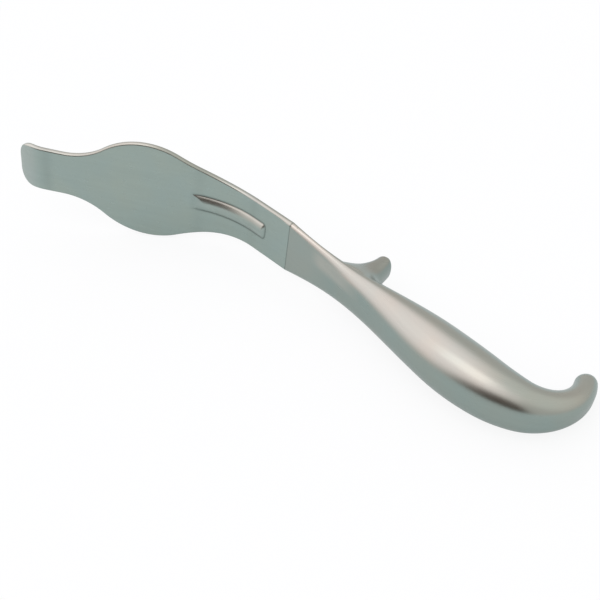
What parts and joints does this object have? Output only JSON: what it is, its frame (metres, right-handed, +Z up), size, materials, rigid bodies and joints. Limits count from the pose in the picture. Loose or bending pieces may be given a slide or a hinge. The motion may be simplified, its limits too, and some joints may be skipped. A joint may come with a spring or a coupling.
{
  "type": "handheld surgical retractor",
  "caption": "Handheld bone retractor: a bent leaf blade with a pressed rib and an upturned tip, on a hollow curved grip with a finger lug.",
  "frame": {"origin": "centre of the bounding box's underside, on the level surface that the retractor lies on", "axes": "+X from the blade's tip to the curl of the grip, +Y away from the face that the picture shows, +Z up as it lies on its side edge"},
  "size_m": [0.2444, 0.0476, 0.0439],
  "materials": {
    "blade_steel": "satin, fine matt ground",
    "handle_steel": "satin polished"
  },
  "bodies": {
    "root": {"blade": "blade_steel", "handle_shell_upper": "handle_steel", "handle_shell_lower": "handle_steel"}
  },
  "joints": []
}
